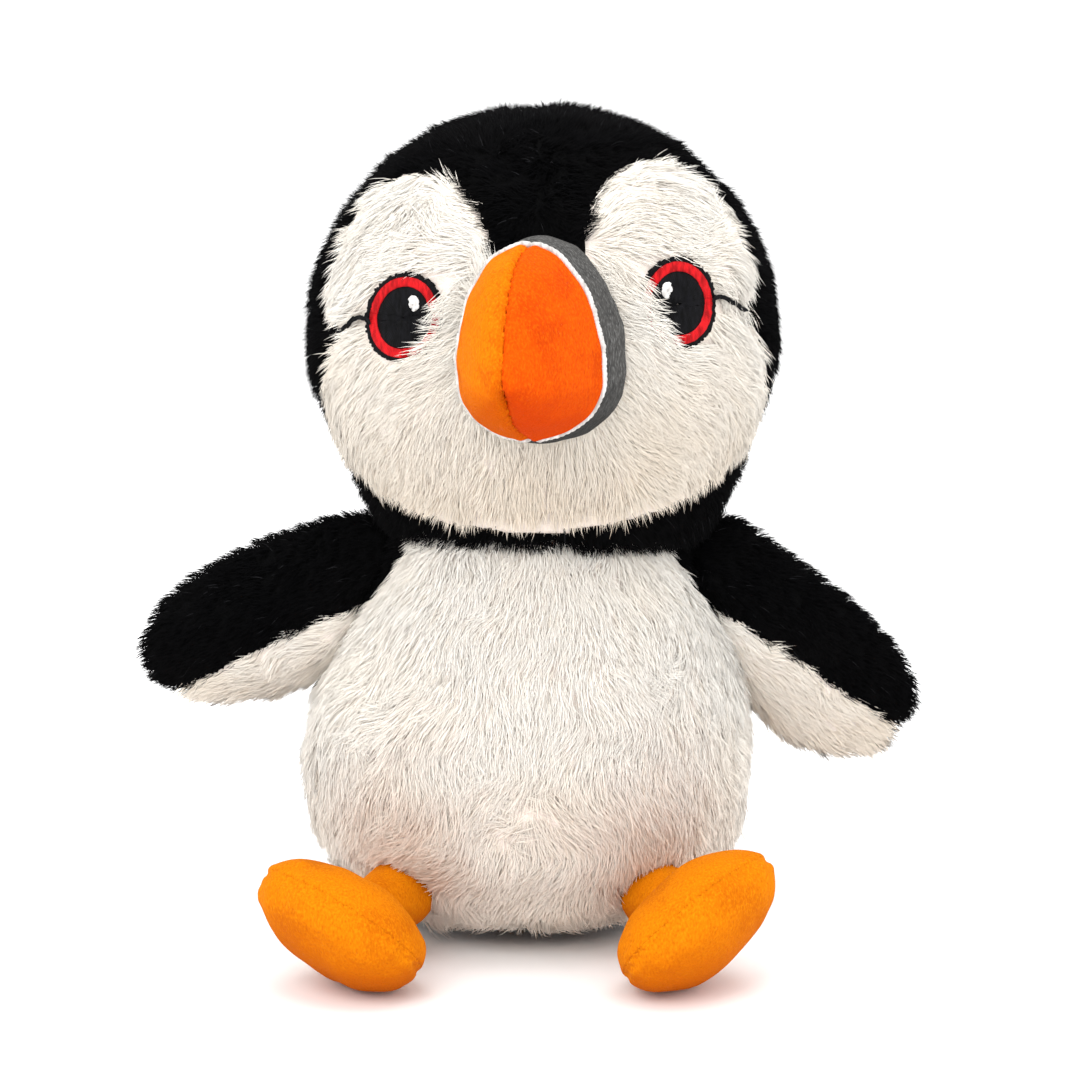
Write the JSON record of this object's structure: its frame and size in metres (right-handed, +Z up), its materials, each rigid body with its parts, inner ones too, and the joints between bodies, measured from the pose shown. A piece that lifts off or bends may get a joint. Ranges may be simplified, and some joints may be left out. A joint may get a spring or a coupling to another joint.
{
  "type": "plush puffin",
  "caption": "Sitting plush puffin with a bead-weighted body, a round head that turns and nods, sprung flippers and webbed feet.",
  "frame": {"origin": "middle of the flat seat, level with the floor, straight below the neck", "axes": "+Z up from the seat to the crown, the beak points along -Y, +X is towards the right flipper as seen from the front"},
  "size_m": [0.2766, 0.2167, 0.2857],
  "materials": {
    "black_plush": "short cut-pile plush, matt",
    "cream_plush": "long cut-pile plush, matt",
    "orange_nap": "short-napped velour, matt",
    "golden_nap": "short-napped velour, matt",
    "grey_nap": "marled short-napped velour, matt",
    "white_cord": "ribbed piping cord, matt",
    "red_thread": "satin-stitched thread, slight sheen",
    "black_thread": "satin-stitched thread, slight sheen",
    "white_thread": "satin-stitched thread, slight sheen",
    "fibre_fill": "loose polyester fibre, matt",
    "pouch_cloth": "plain woven cloth, matt",
    "satin_ribbon": "satin ribbon, slight sheen"
  },
  "bodies": {
    "torso": {"back_panel_left": "black_plush", "back_panel_right": "black_plush", "base_panel": "black_plush", "belly_panel": "cream_plush", "body_stuffing": "fibre_fill", "care_label": "satin_ribbon", "pellet_pouch": "pouch_cloth", "tail_stuffing": "fibre_fill", "tail_top": "black_plush", "tail_underside": "black_plush"},
    "neck": {"neck_stuffing": "fibre_fill"},
    "head": {"beak_band_left": "grey_nap", "beak_band_right": "grey_nap", "beak_panel_left": "orange_nap", "beak_panel_right": "orange_nap", "beak_piping": "white_cord", "beak_stuffing": "fibre_fill", "eye_highlight_left": "white_thread", "eye_highlight_right": "white_thread", "eye_line_left": "black_thread", "eye_line_right": "black_thread", "eye_outline_left": "black_thread", "eye_outline_right": "black_thread", "eye_pupil_left": "black_thread", "eye_pupil_right": "black_thread", "eye_ring_left": "red_thread", "eye_ring_right": "red_thread", "face_lower_left": "cream_plush", "face_lower_right": "cream_plush", "face_upper_left": "cream_plush", "face_upper_right": "cream_plush", "head_panel_left": "black_plush", "head_panel_right": "black_plush", "head_stuffing": "fibre_fill"},
    "wing_left": {"wing_stuffing_left": "fibre_fill", "wing_top_left": "black_plush", "wing_underside_left": "cream_plush"},
    "wing_right": {"wing_stuffing_right": "fibre_fill", "wing_top_right": "black_plush", "wing_underside_right": "cream_plush"},
    "foot_left": {"foot_sole_left": "golden_nap", "foot_stuffing_left": "fibre_fill", "foot_top_left": "golden_nap", "leg_cover_left": "golden_nap", "leg_stuffing_left": "fibre_fill"},
    "foot_right": {"foot_sole_right": "golden_nap", "foot_stuffing_right": "fibre_fill", "foot_top_right": "golden_nap", "leg_cover_right": "golden_nap", "leg_stuffing_right": "fibre_fill"}
  },
  "joints": [
    {"name": "neck_turn", "type": "hinge", "parent": "torso", "child": "neck", "pos_m": [0, 0, 0.111], "axis": [0, 0, 1], "range_deg": [-20, 20], "stiffness_Nm_per_rad": 0.3},
    {"name": "head_nod", "type": "hinge", "parent": "neck", "child": "head", "pos_m": [0, 0, 0.111], "axis": [1, 0, 0], "range_deg": [-8, 12], "stiffness_Nm_per_rad": 1.2},
    {"name": "wing_left_flap", "type": "hinge", "parent": "torso", "child": "wing_left", "pos_m": [-0.06322, 0.003, 0.115], "axis": [0.0642, 0.9782, -0.1977], "range_deg": [-8, 26], "stiffness_Nm_per_rad": 0.25},
    {"name": "wing_right_flap", "type": "hinge", "parent": "torso", "child": "wing_right", "pos_m": [0.0627, 0.003, 0.115], "axis": [0.104, -0.9781, 0.1801], "range_deg": [-8, 26], "stiffness_Nm_per_rad": 0.25},
    {"name": "foot_left_flex", "type": "hinge", "parent": "torso", "child": "foot_left", "pos_m": [-0.0475, -0.04551, 0.021], "axis": [-1, 0, 0], "range_deg": [-8, 12], "stiffness_Nm_per_rad": 0.3},
    {"name": "foot_right_flex", "type": "hinge", "parent": "torso", "child": "foot_right", "pos_m": [0.0385, -0.04551, 0.021], "axis": [-1, 0, 0], "range_deg": [-8, 12], "stiffness_Nm_per_rad": 0.3}
  ]
}
